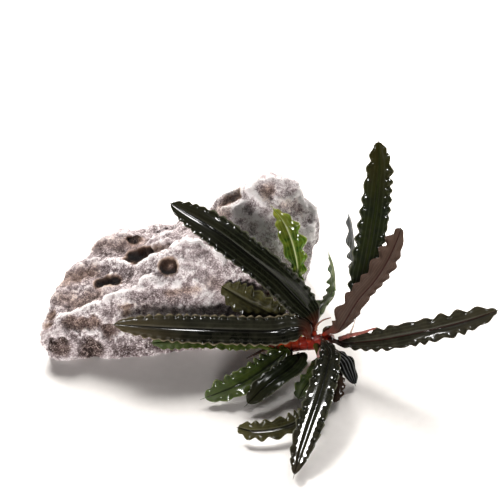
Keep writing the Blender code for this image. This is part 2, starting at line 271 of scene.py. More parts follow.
@dataclass(frozen=True)
class StoneFinish:
    """Weathered limestone, worn by water and left rough: grey with a lilac cast and a strong sparkling grain.

    Its crests are bleached almost white, its bowls are washed tan by old mulm, and its holes go dark brown. Its hollows
    are painted darker and its bumps paler as shade and light, its grains carry painted glints, and patches are painted
    paler or darker where the lamps leave it too dark or too bright.
    """

    slot: str = "stone"
    # From the dirt between the grains and the painted shade of hollows, to the bare crystal on the crests and the
    # painted light of patches.
    tones: tuple[tuple[float, str], ...] = (
        (0.0, "#2B2322"), (1.0, "#F4F1F2"), (0.2, "#544948"), (0.4, "#7A6E6F"), (0.58, "#988C8E"), (0.78, "#C8BEC0"))
    tan: str = "#E0C8B0"
    dark: str = "#2A1C15"
    grain_mm: float = 0.6
    blotch_mm: float = 6.0
    roughness: float = 0.6

    def material(self) -> bpy.types.Material:
        """Builds the stone's material."""
        material = new_material("weathered_limestone")
        tree = material.node_tree
        place = add_node(tree, "TexCoord").outputs["Object"]
        stain = add_node(tree, "Attribute", attribute_name="stain").outputs["Fac"]
        bleach_and_painted_light = add_node(tree, "Attribute", attribute_name="bleach_and_painted_light").outputs["Fac"]
        relief_shading = add_node(tree, "Attribute", attribute_name="relief_shading").outputs["Fac"]
        wet = add_node(tree, "Attribute", attribute_name="wet").outputs["Fac"]
        blotch = add_node(tree, "TexNoise", {
            "Vector": place, "Scale": 1 / (self.blotch_mm * MM), "Detail": 5.0, "Roughness": 0.6})
        # Grains of crystal and specks of dirt, drawn about twice as coarse as they are so that they show.
        grain = add_node(tree, "TexNoise", {
            "Vector": place, "Scale": 1 / (self.grain_mm * MM), "Detail": 3.0, "Roughness": 0.75})
        fleck = add_node(tree, "TexNoise", {
            "Vector": place, "Scale": 1 / (self.grain_mm * 2.4 * MM), "Detail": 4.0, "Roughness": 0.7})
        region = add_node(tree, "TexNoise", {"Vector": place, "Scale": 1 / (17 * MM), "Detail": 1.0})
        clear = add_node(tree, "MapRange", {0: region.outputs["Fac"], 1: 0.36, 2: 0.6, 3: 0.45, 4: 1.0})
        specks = add_node(tree, "Math", {0: fleck.outputs["Fac"], 1: 0.4, 2: grain.outputs["Fac"]},
                          operation="MULTIPLY_ADD")
        grain_side = add_node(tree, "Math", {0: specks.outputs[0], 1: 0.7}, operation="SUBTRACT")
        grain_top = add_node(tree, "Math", {0: grain_side.outputs[0], 1: -0.11}, operation="MAXIMUM")
        grain_here = add_node(tree, "Math", {0: grain_top.outputs[0], 1: clear.outputs[0]}, operation="MULTIPLY")
        by_blotch = add_node(tree, "Math", {0: blotch.outputs["Fac"], 1: 0.6, 2: 0.2}, operation="MULTIPLY_ADD")
        # Painted shade and light: hollows are drawn darker and bumps paler.
        by_relief_shading = add_node(tree, "Math", {0: relief_shading, 1: 0.3, 2: by_blotch.outputs[0]}, operation="MULTIPLY_ADD")
        # Worn pale crests and rims, and the painted light of the patches and bowl floors, make the stone paler.
        by_bleach_and_painted_light = add_node(tree, "Math", {0: bleach_and_painted_light, 1: 0.18, 2: by_relief_shading.outputs[0]}, operation="MULTIPLY_ADD")
        tone = add_node(tree, "Math", {0: grain_here.outputs[0], 1: 2.4, 2: by_bleach_and_painted_light.outputs[0]},
                        operation="MULTIPLY_ADD")
        bare = add_node(tree, "ValToRGB", {0: tone.outputs[0]}, stops=self.tones)
        # Painted glints: single crystals drawn near-white in the colour, as if each caught the light.
        painted_glint = add_node(tree, "MapRange", {0: specks.outputs[0], 1: 0.78, 2: 0.9, 3: 0.0, 4: 0.9})
        body = add_node(tree, "Mix", {0: painted_glint.outputs[0], 6: bare.outputs[0], 7: "#F8F4F5"}, data_type="RGBA")
        uneven = add_node(tree, "Math", {0: grain_side.outputs[0], 1: 0.8, 2: stain}, operation="MULTIPLY_ADD")
        tan_share = add_node(tree, "MapRange", {0: uneven.outputs[0], 1: 0.1, 2: 0.7, 3: 0.0, 4: 1.0})
        tanned = add_node(tree, "Mix", {0: tan_share.outputs[0], 6: body.outputs[2], 7: self.tan},
                          data_type="RGBA", blend_type="MULTIPLY")
        dark_share = add_node(tree, "MapRange", {0: uneven.outputs[0], 1: 0.5, 2: 1.0, 3: 0.0, 4: 0.96})
        final = add_node(tree, "Mix", {0: dark_share.outputs[0], 6: tanned.outputs[2], 7: self.dark},
                         data_type="RGBA")
        height = add_node(tree, "Math", {0: fleck.outputs["Fac"], 1: 1.3, 2: grain.outputs["Fac"]},
                          operation="MULTIPLY_ADD")
        bump = add_node(tree, "Bump", {"Height": height.outputs[0], "Strength": 0.9, "Distance": 0.0007})
        rough = add_node(tree, "MapRange", {
            0: grain.outputs["Fac"], 1: 0.35, 2: 0.7, 3: self.roughness + 0.12, 4: self.roughness - 0.2})
        # The water on the side by the plant gives its grains hard glints.
        drops = add_node(tree, "Bump", {"Height": height.outputs[0], "Strength": 1.0, "Distance": 0.0011})
        shader = add_node(tree, "BsdfPrincipled", {
            "Base Color": final.outputs[2], "Roughness": rough.outputs[0], "Normal": bump.outputs[0],
            "Specular IOR Level": 0.35, "Coat Weight": wet, "Coat Roughness": 0.12, "Coat Normal": drops.outputs[0]})
        add_node(tree, "OutputMaterial", {0: shader.outputs[0]})
        return material


@dataclass(frozen=True)
class Stone:
    """The stone, made from its own solid: remeshed fine, worn along its marks and roughened."""

    node: str = "stone"
    voxel: float = 0.62
    smoothing: int = 8
    lumps: tuple = ((13.0, 0.5), (5.0, 0.7), (3.0, 0.5), (1.7, 0.4), (1.05, 0.22))
    finish: StoneFinish = StoneFinish()
    marks: tuple[Mark, ...] = (
        Mark(MarkKind.HOLE, ((-49, 34.5, 27.5),), 2.6, 1.6, 1.0),
        Mark(MarkKind.HOLE, ((-48.5, 27, 25.5), (-46, 25.5, 26.5)), 3.6, 2.0, 1.05),
        Mark(MarkKind.HOLE, ((-43, 25, 28),), 2.4, 1.4, 0.9),
        Mark(MarkKind.HOLE, ((-35, 12.5, 31),), 3.5, 1.8, 1.05),
        Mark(MarkKind.HOLE, ((-59, 17.5, 20.5), (-55, 17, 21.5)), 3.0, 1.5, 1.05),
        Mark(MarkKind.SCOOP, ((-62, 0, 3.5),), 5.0, 0.9, 0.34),
        Mark(MarkKind.SCOOP, ((-73, -0.5, 4.5),), 4.0, 0.9, 0.38),
        Mark(MarkKind.SCOOP, ((-70, 4, 12), (-66, 4, 11.5), (-61, 4, 12.5)), 3.0, 0.5, 0.48),
        Mark(MarkKind.SCOOP, ((-56, 4, 9),), 3.8, 0.7, 0.45),
        Mark(MarkKind.SCOOP, ((-50, 6, 17),), 2.8, 0.6, 0.62),
        Mark(MarkKind.SCOOP, ((-77, 10, 11),), 2.6, 0.7, 0.6),
        Mark(MarkKind.SCOOP, ((-78, 6, 10),), 2.2, 0.6, 0.6),
        Mark(MarkKind.STAIN, ((-73, 15, 14), (-67, 12, 15), (-59, 13, 18)), 6.0, 0.0, 0.45),
        Mark(MarkKind.STAIN, ((-72, 23, 16), (-68, 23, 18), (-64, 24, 19)), 7.0, 0.0, 0.55),
        Mark(MarkKind.STAIN, ((-51, 6, 18), (-42, 7, 16), (-32, 6, 16)), 4.5, 0.0, 0.25),
        Mark(MarkKind.STAIN, ((-34, 8, 22), (-29, 8, 23), (-25, 8, 24)), 4.0, 0.0, 0.5),
        Mark(MarkKind.STAIN, ((-20, 10, 26), (-12, 10, 20)), 5.0, 0.0, 0.3),
        Mark(MarkKind.STAIN, ((6, 36, 41), (11, 38, 37)), 5.0, 0.0, 0.35),
        Mark(MarkKind.STAIN, ((-19, 36, 36), (-15, 33, 39)), 5.0, 0.0, 0.4),
        Mark(MarkKind.SCOOP, ((-1, 36, 46),), 4.0, 0.6, 0.5),
        Mark(MarkKind.SCOOP, ((-15, 38, 41), (-11, 38, 43.5)), 3.0, 0.8, 0.66),
        Mark(MarkKind.STAIN, ((-19, 37, 38), (-15, 38, 41)), 3.6, 0.0, 0.4),
        Mark(MarkKind.STAIN, ((-62, 36, 21), (-53, 35, 24), (-46, 33, 26)), 7.0, 0.0, 0.42),
        Mark(MarkKind.SCOOP, ((-40, 24, 30), (-36, 22, 33)), 2.4, 0.7, 0.6),
        Mark(MarkKind.CARVE, ((-45, 39, 28), (-41, 38, 30), (-37, 37, 31)), 8.0, 3.5),
        # Painted light and shade: these patches make parts of the stone paler or darker in place of light, brighter
        # over the lobe and the shaded band under the ledge, darker along the foot.
        Mark(MarkKind.LIGHT_PATCH, ((-8, 34, 42), (0, 34, 42), (8, 36, 38)), 18.0, 0.0, 0.8),
        Mark(MarkKind.LIGHT_PATCH, ((-12, 25, 33), (4, 26, 32)), 18.0, 0.0, 1.1),
        Mark(MarkKind.LIGHT_PATCH, ((-50, 6, 16), (-42, 7, 15), (-32, 6, 15), (-20, 10, 18)), 8.0, 0.0, 1.3),
        Mark(MarkKind.LIGHT_PATCH, ((12, 38, 36), (11, 32, 26)), 12.0, 0.0, 1.2),
        Mark(MarkKind.LIGHT_PATCH, ((-74, 0, 4), (-54, 1, 4), (-40, 2, 4), (-28, 3, 4)), 9.0, 0.0, -1.0),
        Mark(MarkKind.LIGHT_PATCH, ((-73, 12, 13), (-66, 12, 15), (-58, 12, 18)), 7.0, 0.0, 0.5),
        Mark(MarkKind.LIGHT_PATCH, ((-60, 30, 22), (-50, 33, 26), (-40, 34, 29)), 9.0, 0.0, -0.2),
        Mark(MarkKind.LIGHT_PATCH, ((-38, 18, 29), (-28, 14, 31), (-20, 12, 28)), 11.0, 0.0, 0.9),
        Mark(MarkKind.CARVE, ((0, 41, 49), (6, 44, 46)), 9.0, -1.3),
        Mark(MarkKind.CARVE, ((-46, 47, 24), (-42, 46, 25), (-37, 45, 27)), 8.5, 4.5),
        Mark(MarkKind.CREST, ((-72, 7, 14), (-66, 7, 16), (-61, 7.5, 18), (-55, 8, 21), (-50, 8, 23), (-45, 8.5, 24.5),
                              (-36, 8.5, 25), (-31, 9, 26)), 2.8, 0.6),
        Mark(MarkKind.CREST, ((-63, 26, 20), (-56, 25, 23), (-50, 22, 24), (-43, 18, 29), (-37, 19, 33), (-30, 18, 38),
                              (-26, 17, 38), (-20, 16, 36), (-15, 13, 35)), 2.8, 0.5),
        Mark(MarkKind.CREST, ((-48, 15, 25), (-40, 9, 26), (-33, 8, 27), (-28, 10, 30)), 3.4, 0.4),
        Mark(MarkKind.CREST, ((-11, 32, 42), (-6, 34, 46), (-2, 32, 44), (-4, 31, 41)), 3.4, 0.4),
        Mark(MarkKind.CREST, ((-9, 30, 40), (-4, 28, 39), (-1, 26, 36), (-7, 24, 34)), 4.2, 0.2),
        Mark(MarkKind.CREST, ((-22, 8, 21), (-12, 9, 17)), 3.4, 0.2),
        Mark(MarkKind.CREST, ((-63, 2, 11), (-42, 2, 6)), 3.0, 0.3),
        Mark(MarkKind.CREST, ((3, 35, 43), (11, 40, 42), (16, 40, 34)), 2.8, 0.4),
        Mark(MarkKind.CREST, ((16, 38, 32), (11, 31, 24)), 3.0, 0.3),
    )

    def build(self) -> bpy.types.Object:
        """Makes the dressed stone.

        Returns:
            The stone's piece, which replaces its solid.
        """
        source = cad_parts[self.node]
        bpy.ops.object.select_all(action="DESELECT")
        piece = source.copy()
        piece.data = source.data.copy()
        for key in [k for k in piece.keys() if k.startswith("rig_")]:
            del piece[key]
        piece.parent = None
        bpy.context.scene.collection.objects.link(piece)
        piece.name = "weathered_stone"
        piece.data.name = "weathered_stone"
        bpy.context.view_layer.objects.active = piece
        piece.select_set(True)
        bpy.ops.object.mode_set(mode="EDIT")
        bpy.ops.mesh.select_all(action="SELECT")
        bpy.ops.mesh.remove_doubles(threshold=1e-6)
        bpy.ops.mesh.select_all(action="DESELECT")
        bpy.ops.object.mode_set(mode="OBJECT")
        piece.data.materials.clear()
        remesh = piece.modifiers.new("fine", "REMESH")
        remesh.mode = "VOXEL"
        remesh.voxel_size = self.voxel * MM
        bpy.ops.object.modifier_apply(modifier="fine")
        soften = piece.modifiers.new("soften", "SMOOTH")
        soften.factor = 0.5
        soften.iterations = self.smoothing
        bpy.ops.object.modifier_apply(modifier="soften")
        self.wear(piece)
        bpy.ops.object.shade_smooth()
        piece.data.materials.append(self.finish.material())
        put_in_frame(piece, self.finish.slot, self.node)
        return piece

    def wear(self, piece: bpy.types.Object) -> None:
        """Cuts the marks into the stone, roughens it and notes its stains, its bleaching and painted light, and the
        painted shade of its hollows.

        Args:
            piece: The remeshed stone.
        """
        mesh = piece.data
        count = len(mesh.vertices)
        flat = np.empty(count * 3, np.float32)
        mesh.vertices.foreach_get("co", flat)
        points = flat.reshape(-1, 3).astype(float) / MM
        mesh.vertices.foreach_get("normal", flat)
        normals = flat.reshape(-1, 3).astype(float)
        warp = shift_at(points, 3.0)
        ragged = shift_at(points, 1.3)
        warped = points + warp * 1.5 + ragged * 0.6
        broken = np.clip(0.75 + 1.1 * np.array([noise.noise(Vector(p) / 4.5) for p in points]), 0.1, 1.4)
        move = np.zeros(count)
        stain = np.zeros(count)
        bleach_and_painted_light = np.zeros(count)
        for mark in self.marks:
            far = mark.distance(warped)
            inside = 1 - smooth(far, 0.0, 1.0)
            if mark.kind is MarkKind.HOLE:
                far = mark.distance(points + warp * 0.8 + ragged * 0.4)
                move -= mark.depth * (1 - smooth(far, 0.45, 1.05))
                stain = np.maximum(stain, mark.tone * (1 - smooth(far, 0.75, 1.4)))
                bleach_and_painted_light += 0.15 * np.exp(-((far - 1.45) / 0.3) ** 2)
            elif mark.kind is MarkKind.SCOOP:
                move -= mark.depth * (1 - smooth(far, 0.15, 1.1))
                move += 0.15 * np.exp(-((far - 1.15) / 0.2) ** 2)
                stain = np.maximum(stain, mark.tone * (1 - smooth(far, 0.4, 1.2)))
                # Painted light: the floor of each bowl is drawn paler in place of the light that its own shade keeps
                # off; its rim is worn pale.
                bleach_and_painted_light += 0.5 * np.exp(-((far - 1.2) / 0.22) ** 2) + 0.5 * inside
            elif mark.kind is MarkKind.CREST:
                move += mark.depth * inside ** 1.5 * broken
                bleach_and_painted_light += 2.4 * inside ** 2 * broken
            elif mark.kind is MarkKind.STAIN:
                stain = np.maximum(stain, mark.tone * inside)
            # Painted light and shade: the patch's tone makes the stone paler or darker in place of light.
            elif mark.kind is MarkKind.LIGHT_PATCH:
                bleach_and_painted_light += mark.tone * inside
            else:
                move -= mark.depth * inside
        for number, (span, height) in enumerate(self.lumps):
            move += height * np.array([noise.noise(Vector(p) / span + Vector((0, 0, 7.0 * number))) for p in points])
        pits = np.array([noise.voronoi(Vector(p) / 2.6)[0][0] for p in warped])
        many = np.array([noise.noise(Vector(p) / 11.0 + Vector((3, 1, 5))) for p in points])
        move -= 0.5 * (1 - smooth(pits, 0.12, 0.5)) * smooth(many, -0.1, 0.35)
        # Worn facets meet in a net of thin pale edges.
        facets = np.array([noise.voronoi(Vector(p) / 10.0)[0][:2] for p in warped + warp * 1.5])
        edge = (1 - smooth(facets[:, 1] - facets[:, 0], 0.0, 0.16)) * broken
        move += 0.3 * edge
        bleach_and_painted_light += 0.9 * edge
        points += normals * move[:, None]
        points[:, 2] = np.maximum(points[:, 2], 0.0)
        mesh.vertices.foreach_set("co", (points * MM).astype(np.float32).ravel())
        ends = np.empty(len(mesh.edges) * 2, np.int32)
        mesh.edges.foreach_get("vertices", ends)
        a, b = ends.reshape(-1, 2).T
        valence = np.bincount(np.concatenate([a, b]), minlength=count).astype(float)
        # Painted shade and light: how far each point sits above or below its smoothed neighbours, which darkens hollows
        # and lightens bumps.
        even = points.copy()
        relief_shading = np.zeros(count)
        for step in range(40):
            near = np.empty_like(even)
            for k in range(3):
                near[:, k] = np.bincount(a, even[b, k], count) + np.bincount(b, even[a, k], count)
            even = near / valence[:, None]
            if step in (5, 39):
                out = ((points - even) * normals).sum(axis=1)
                relief_shading += np.clip(out / (2.2 * out.std()), -1, 1)
        pools = np.array([noise.noise(Vector(p) / 9.0 + Vector((1, 8, 2))) for p in points])
        wet = smooth(points[:, 0], -55, -15) * smooth(pools, -0.25, 0.2)
        for name, values in (("stain", stain), ("bleach_and_painted_light", np.clip(bleach_and_painted_light, -2.0, 3.0)), ("relief_shading", relief_shading / 2),
                             ("wet", wet)):
            field = mesh.attributes.new(name, "FLOAT", "POINT")
            field.data.foreach_set("value", values.astype(np.float32))
        mesh.update()


@dataclass(frozen=True)
class LeafFinish:
    """A leaf's thick waxy skin, wet: dark and even, with a water film that gives hard white highlights."""

    name: str
    slot: str
    body: str
    second: str
    tip: str
    rib: str
    # The margin colour is the leaf's pale edge, and on the wave crests also a painted highlight.
    margin: str
    under: str
    stalk: str = "#8A2C1C"
    vein: str = "#4A5040"
    vein_show: float = 0.15
    veins: float = 7.0
    glow: float = 0.0
    # How much paler the half on the left of the midrib is, which lies nearer to the light.
    half: float = 0.0
    roughness: float = 0.4
    gloss: float = 0.02
    coat: float = 0.55
    film: float = 0.13
    skin: float = 0.3
    # How much rougher the midrib is than the rest, which keeps it dark inside a highlight.
    rib_rough: float = 1.0

    def material(self) -> bpy.types.Material:
        """Gives the leaf's material, built on its first use.

        Returns:
            The material.
        """
        found = bpy.data.materials.get("wet_leaf_" + self.name)
        if found:
            return found
        material = new_material("wet_leaf_" + self.name)
        tree = material.node_tree
        place = add_node(tree, "TexCoord").outputs["Object"]
        across = add_node(tree, "Attribute", attribute_name="across").outputs["Fac"]
        reach = add_node(tree, "Attribute", attribute_name="reach").outputs["Fac"]
        under = add_node(tree, "Attribute", attribute_name="under").outputs["Fac"]
        crest = add_node(tree, "Attribute", attribute_name="crest").outputs["Fac"]
        off = add_node(tree, "Math", {0: across}, operation="ABSOLUTE").outputs[0]
        mottle = add_node(tree, "TexNoise", {
            "Vector": place, "Scale": 1 / (3.2 * MM), "Detail": 4.0, "Roughness": 0.6})
        patch = add_node(tree, "MapRange", {0: mottle.outputs["Fac"], 1: 0.4, 2: 0.68, 3: 0.0, 4: 1.0})
        # Painted light: the half on the left of the midrib is drawn paler, as if it lay nearer to the light.
        side = add_node(tree, "MapRange", {0: across, 1: -0.08, 2: 0.1, 3: 0.0, 4: self.half})
        both = add_node(tree, "Math", {0: patch.outputs[0], 1: side.outputs[0]}, operation="ADD")
        body = add_node(tree, "Mix", {0: both.outputs[0], 6: self.body, 7: self.second}, data_type="RGBA",
                        clamp_factor=False)
        # Parallel veins run along the blade a little over 1 mm apart.
        run = add_node(tree, "Math", {0: reach, 1: 1.6}, operation="MULTIPLY")
        strip = add_node(tree, "CombineXYZ", {0: across, 1: run.outputs[0]})
        veins = add_node(tree, "TexWave", {
            "Vector": strip.outputs[0], "Scale": self.veins * 0.157, "Distortion": 1.2, "Detail": 2.0,
            "Detail Scale": 1.4}, wave_type="BANDS", bands_direction="X")
        line = add_node(tree, "MapRange", {0: veins.outputs["Fac"], 1: 0.62, 2: 0.98, 3: 0.0, 4: 1.0})
        shown = add_node(tree, "Math", {0: line.outputs[0], 1: self.vein_show}, operation="MULTIPLY")
        veined = add_node(tree, "Mix", {0: shown.outputs[0], 6: body.outputs[2], 7: self.vein}, data_type="RGBA")
        tip_share = add_node(tree, "MapRange", {0: reach, 1: 0.62, 2: 1.0, 3: 0.0, 4: 0.9})
        tipped = add_node(tree, "Mix", {0: tip_share.outputs[0], 6: veined.outputs[2], 7: self.tip},
                          data_type="RGBA")
        under_share = add_node(tree, "MapRange", {0: under, 1: 0.3, 2: 0.7, 3: 0.0, 4: 0.85})
        sided = add_node(tree, "Mix", {0: under_share.outputs[0], 6: tipped.outputs[2], 7: self.under},
                         data_type="RGBA")
        rib_share = add_node(tree, "MapRange", {0: off, 1: 0.1, 2: 0.03, 3: 0.0, 4: 0.85})
        ribbed = add_node(tree, "Mix", {0: rib_share.outputs[0], 6: sided.outputs[2], 7: self.rib},
                          data_type="RGBA")
        # The pale rim is partly the leaf's own pale edge and partly a painted highlight, drawn brightest on the crests
        # of the waves where glints fall.
        rim_share = add_node(tree, "MapRange", {0: off, 1: 0.88, 2: 1.0, 3: 0.0, 4: 0.8})
        rim_with_crest_glint = add_node(tree, "Math", {0: crest, 1: 0.35, 2: 0.5}, operation="MULTIPLY_ADD")
        rim = add_node(tree, "Math", {0: rim_share.outputs[0], 1: rim_with_crest_glint.outputs[0]}, operation="MULTIPLY",
                       use_clamp=True)
        rimmed = add_node(tree, "Mix", {0: rim.outputs[0], 6: ribbed.outputs[2], 7: self.margin},
                          data_type="RGBA")
        stalk_share = add_node(tree, "MapRange", {0: reach, 1: 0.1, 2: -0.25, 3: 0.0, 4: 1.0})
        final = add_node(tree, "Mix", {0: stalk_share.outputs[0], 6: rimmed.outputs[2], 7: self.stalk},
                         data_type="RGBA")
        # The skin's cells are 0.05 mm, and are drawn 0.5 mm wide so that they break up the gloss.
        cells = add_node(tree, "TexNoise", {
            "Vector": place, "Scale": 1 / (0.5 * MM), "Detail": 2.0, "Roughness": 0.5})
        coarse = add_node(tree, "Math", {0: rib_share.outputs[0], 1: self.rib_rough, 2: 1.0},
                          operation="MULTIPLY_ADD")
        skin = add_node(tree, "Math", {0: cells.outputs["Fac"], 1: coarse.outputs[0]}, operation="MULTIPLY")
        relief = add_node(tree, "Math", {0: line.outputs[0], 1: 0.6, 2: skin.outputs[0]},
                          operation="MULTIPLY_ADD")
        bump = add_node(tree, "Bump", {"Height": relief.outputs[0], "Strength": self.skin, "Distance": 0.00006})
        rough = add_node(tree, "MapRange", {
            0: mottle.outputs["Fac"], 1: 0.3, 2: 0.7, 3: self.roughness - 0.05, 4: self.roughness + 0.12})
        shader = add_node(tree, "BsdfPrincipled", {
            "Base Color": final.outputs[2], "Roughness": rough.outputs[0], "Normal": bump.outputs[0],
            "Specular IOR Level": self.gloss, "Coat Weight": self.coat, "Coat Roughness": self.film,
            "Subsurface Weight": self.glow, "Subsurface Radius": (0.6, 1.0, 0.3), "Subsurface Scale": 0.0012})
        add_node(tree, "OutputMaterial", {0: shader.outputs[0]})
        return material


DARK = LeafFinish("dark", "leaf_dark", body="#0B0E07", second="#17190F", tip="#26261A", rib="#0A0B08",
                  margin="#7C7E6A", under="#2B2E22")
DARK_WET = replace(DARK, name="dark_wet", body="#1A1C13", second="#2A2A1F", tip="#2A241C", rib="#0A0C0B", coat=1.0,
                   vein_show=0.04,
                   film=0.08, skin=0.08, rib_rough=20.0)
DARK_LOW = replace(DARK, name="dark_low", body="#0B0F07", second="#171C0D", coat=0.12, film=0.2, gloss=0.0, vein_show=0.06,
                   stalk="#3A1D16")
DARK_OLIVE_TIP = replace(DARK, name="dark_olive_tip", body="#171C12", second="#20260F", tip="#302D12", rib="#232A12",
                         stalk="#3A1D16")
# Its paler left half is painted sheen.
DARK_TAN_TIP = replace(DARK, name="dark_tan_tip", body="#070905", second="#1E1F17", tip="#453E2D", vein_show=0.12,
                       vein="#4A483F", margin="#B5A98C", half=1.0, rib_rough=8.0, coat=0.45)
# Its strong grey lines are veins, drawn strong enough to stand also for a painted reflection of the bright table.
DARK_LINED = replace(DARK, name="dark_lined", body="#0D0F0E", second="#161817", tip="#1C1E1F", vein="#7E8284",
                     vein_show=0.7, veins=5.0, coat=0.2, gloss=0.0, stalk="#3A1D16")
OLIVE = LeafFinish("olive", "leaf_olive", body="#243010", second="#43501E", tip="#4C573A", rib="#171E0D",
                   margin="#A3AA7C", under="#3C4526", vein_show=0.2, glow=0.08, coat=0.4, stalk="#3E4A1C")
OLIVE_DARK = LeafFinish("olive_dark", "leaf_olive", body="#222114", second="#3E3C20", tip="#45432A", rib="#12120B",
                        margin="#6C6A48", under="#2E2E1C", vein_show=0.2, stalk="#4A4A20")
# Its pale midrib colour is a painted highlight along the rib.
BRIGHT = LeafFinish("bright", "leaf_bright", body="#22380C", second="#5C641E", tip="#76782E", rib="#C2C896",
                    margin="#A9B068", under="#3A5C18", stalk="#8C8F3E", vein="#7E9A48", vein_show=0.25, glow=0.12,
                    coat=1.0, film=0.1)
# A dark leaf under a painted sheen: its grey second colour and its paler left half stand in for the gloss on it.
DARK_SHEENED = LeafFinish("pale", "leaf_pale", body="#23241F", second="#5C5E60", tip="#56585A", rib="#2A2C28",
                  margin="#2E302A", under="#4C5048", stalk="#3E3A28", vein="#B9BDB5", vein_show=0.3, half=0.7, roughness=0.25,
                  coat=0.8)
GREY_GREEN = LeafFinish("grey_green", "leaf_olive", body="#48523A", second="#6B7560", tip="#7C8674", rib="#343D28",
                        margin="#A2A88C", under="#6C7448", stalk="#9C9C5C", vein="#8B9570", vein_show=0.3, glow=0.1)
BROWN_UNDER = LeafFinish("brown_under", "leaf_brown", body="#1E1713", second="#382B25", tip="#6E5B4E",
                         rib="#2A1210", margin="#5C4A42", under="#43362F", vein="#6E5C52", vein_show=0.6, veins=11.0,
                         roughness=0.5, coat=0.12)
BROWN_OLIVE = LeafFinish("brown_olive", "leaf_brown", body="#25241C", second="#353328", tip="#383528",
                         rib="#2A1410", margin="#6C685A", under="#3A352B", vein_show=0.2, stalk="#6B2016")
BROWN = LeafFinish("brown", "leaf_brown", body="#2C1E18", second="#3A2A20", tip="#30261E", rib="#150E0B",
                   margin="#6A5444", under="#33251D", stalk="#3A1D16")


@dataclass(frozen=True)
class Stem:
    """The creeping stem: red, glossy and ringed by old leaf scars, narrowing to a closed end at its growing tip, where
    the plant has a round bud.
    """

    node: str = "stem"
    slot: str = "stem"
    path: Line = ((-6, 5.6, 8), (-2, 3.2, 6.5), (5, 0.9, 5.2), (11, 0.6, 5.6), (17.4, 1.2, 6), (22, 1.6, 8))
    radius: float = 2.0
    scar_every: float = 2.6
    red: str = "#7C2016"
    orange: str = "#A8421F"
    old: str = "#5A3020"

    def at(self, along: float, around: float) -> tuple[np.ndarray, np.ndarray]:
        """Finds a place on the stem.

        Args:
            along: How far along the stem, from 0 at its old end to 1 at the growing tip.
            around: The side of it in degrees: 0 the back, 90 the top, 180 the front.

        Returns:
            The point on the middle line, and the way straight out from it.
        """
        line = curve_through(self.path, 201)
        spot = round(along * 200)
        run = unit(np.gradient(line, axis=0))[spot]
        angle = math.radians(around)
        out = np.array([0, math.cos(angle), math.sin(angle)])
        return line[spot], unit(out - run * (out @ run))

    def material(self) -> bpy.types.Material:
        """Builds the stem's skin: smooth and wet, deep red by the crown and browner to the old end."""
        material = new_material("wet_red_stem")
        tree = material.node_tree
        place = add_node(tree, "TexCoord").outputs["Object"]
        reach = add_node(tree, "Attribute", attribute_name="reach").outputs["Fac"]
        crest = add_node(tree, "Attribute", attribute_name="crest").outputs["Fac"]
        mottle = add_node(tree, "TexNoise", {
            "Vector": place, "Scale": 1 / (1.6 * MM), "Detail": 4.0, "Roughness": 0.6})
        shifted = add_node(tree, "Math", {0: mottle.outputs["Fac"], 1: 0.3, 2: reach}, operation="MULTIPLY_ADD")
        body = add_node(tree, "ValToRGB", {0: shifted.outputs[0]}, stops=(
            (0.2, self.old), (0.8, self.red), (0.5, self.orange)))
        scar = add_node(tree, "MapRange", {0: crest, 1: 0.2, 2: 1.0, 3: 0.0, 4: 0.6})
        final = add_node(tree, "Mix", {0: scar.outputs[0], 6: body.outputs[0], 7: "#4A1A10"}, data_type="RGBA")
        bump = add_node(tree, "Bump", {"Height": mottle.outputs["Fac"], "Strength": 0.4, "Distance": 0.0003})
        shader = add_node(tree, "BsdfPrincipled", {
            "Base Color": final.outputs[2], "Roughness": 0.32, "Normal": bump.outputs[0],
            "Specular IOR Level": 0.4, "Coat Weight": 0.6, "Coat Roughness": 0.08,
            "Subsurface Weight": 0.12, "Subsurface Radius": (1.0, 0.25, 0.12), "Subsurface Scale": 0.001})
        add_node(tree, "OutputMaterial", {0: shader.outputs[0]})
        return material

    def build(self) -> bpy.types.Object:
        """Makes the stem.

        Returns:
            The stem's piece, which replaces its solid.
        """
        line = curve_through(self.path, 160)
        length = length_of(line)
        run = unit(np.gradient(line, axis=0))
        up = unit(np.array([0, 0, 1.0]) - run * run[:, 2:3])
        side = np.cross(run, up)
        share = np.linspace(0, 1, 160)
        turn = np.linspace(0, math.tau, 41)
        ring = np.abs(np.cos(math.pi * share * length / self.scar_every)) ** 14
        close = np.clip(np.minimum(0.45 + share * 8, 0.25 + (1 - share) * 7), 0, 1)
        swell = 1 + 0.36 * smooth(share, 0.2, 0.5) - 0.1 * smooth(share, 0.85, 1.0)
        lumps = 0.1 * np.sin(turn[None, :] * 2 + share[:, None] * 9) + 0.05 * np.sin(
            turn[None, :] * 3 - share[:, None] * 14)
        radius = self.radius * close[:, None] * (swell[:, None] + lumps - 0.07 * ring[:, None])
        rows = line[:, None] + radius[..., None] * (
            np.cos(turn)[None, :, None] * up[:, None] + np.sin(turn)[None, :, None] * side[:, None])
        wide = np.ones_like(radius)
        piece = loft("creeping_stem", rows, {"reach": share[:, None] * wide, "crest": ring[:, None] * wide})
        piece.data.materials.append(self.material())
        put_in_frame(piece, self.slot, self.node)
        return piece


